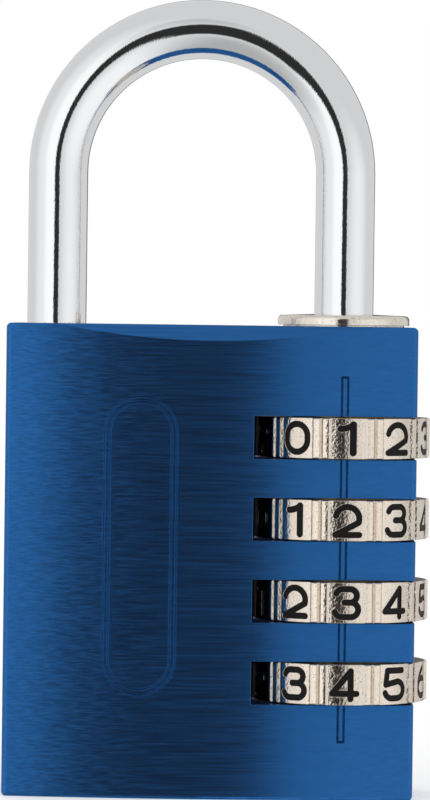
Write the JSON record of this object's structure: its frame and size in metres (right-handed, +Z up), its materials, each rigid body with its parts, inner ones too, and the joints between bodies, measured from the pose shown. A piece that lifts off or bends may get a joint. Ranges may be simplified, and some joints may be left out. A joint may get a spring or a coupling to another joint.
{
  "type": "combination padlock",
  "caption": "Block-bodied combination padlock with a bent bar shackle and stacked number dials turning about its long leg.",
  "frame": {"origin": "centre of the body's flat bottom face", "axes": "+Z up along the shackle's legs, +X towards the dials, -Y towards the front face with the index mark"},
  "size_m": [0.0415, 0.0168, 0.0779],
  "materials": {
    "anodised_blue": "brushed, blue anodised",
    "chrome": "polished",
    "nickel": "polished nickel",
    "dial_nickel": "nickel-plated casting, finely grained",
    "black_filling": "matt black filling in the engraved numerals",
    "brass": "machined",
    "spring_steel": "blackened"
  },
  "bodies": {
    "case": {"body": "anodised_blue", "collar": "nickel", "thrust_washer": "brass", "stack_spring": "spring_steel", "detent_spring_1": "spring_steel", "detent_spring_2": "spring_steel", "detent_spring_3": "spring_steel", "detent_spring_4": "spring_steel"},
    "shackle": {"shackle": "chrome"},
    "dial_1": {"dial_1": "dial_nickel", "dial_1_numerals": "black_filling", "hub_1": "brass"},
    "dial_2": {"dial_2": "dial_nickel", "dial_2_numerals": "black_filling", "hub_2": "brass"},
    "dial_3": {"dial_3": "dial_nickel", "dial_3_numerals": "black_filling", "hub_3": "brass"},
    "dial_4": {"dial_4": "dial_nickel", "dial_4_numerals": "black_filling", "hub_4": "brass"}
  },
  "joints": [
    {"name": "shackle_lift", "type": "slide", "parent": "case", "child": "shackle", "axis": [0, 0, 1], "range_m": [0, 0.00794]},
    {"name": "dial_1_spin", "type": "hinge", "parent": "case", "child": "dial_1", "pos_m": [0.0129, 0, 0.0352], "axis": [0, 0, 1], "continuous": true, "deforming": ["detent_spring_1"]},
    {"name": "dial_2_spin", "type": "hinge", "parent": "case", "child": "dial_2", "pos_m": [0.0129, 0, 0.02726], "axis": [0, 0, 1], "continuous": true, "deforming": ["detent_spring_2"]},
    {"name": "dial_3_spin", "type": "hinge", "parent": "case", "child": "dial_3", "pos_m": [0.0129, 0, 0.01932], "axis": [0, 0, 1], "continuous": true, "deforming": ["detent_spring_3"]},
    {"name": "dial_4_spin", "type": "hinge", "parent": "case", "child": "dial_4", "pos_m": [0.0129, 0, 0.01138], "axis": [0, 0, 1], "continuous": true, "deforming": ["detent_spring_4"]}
  ]
}
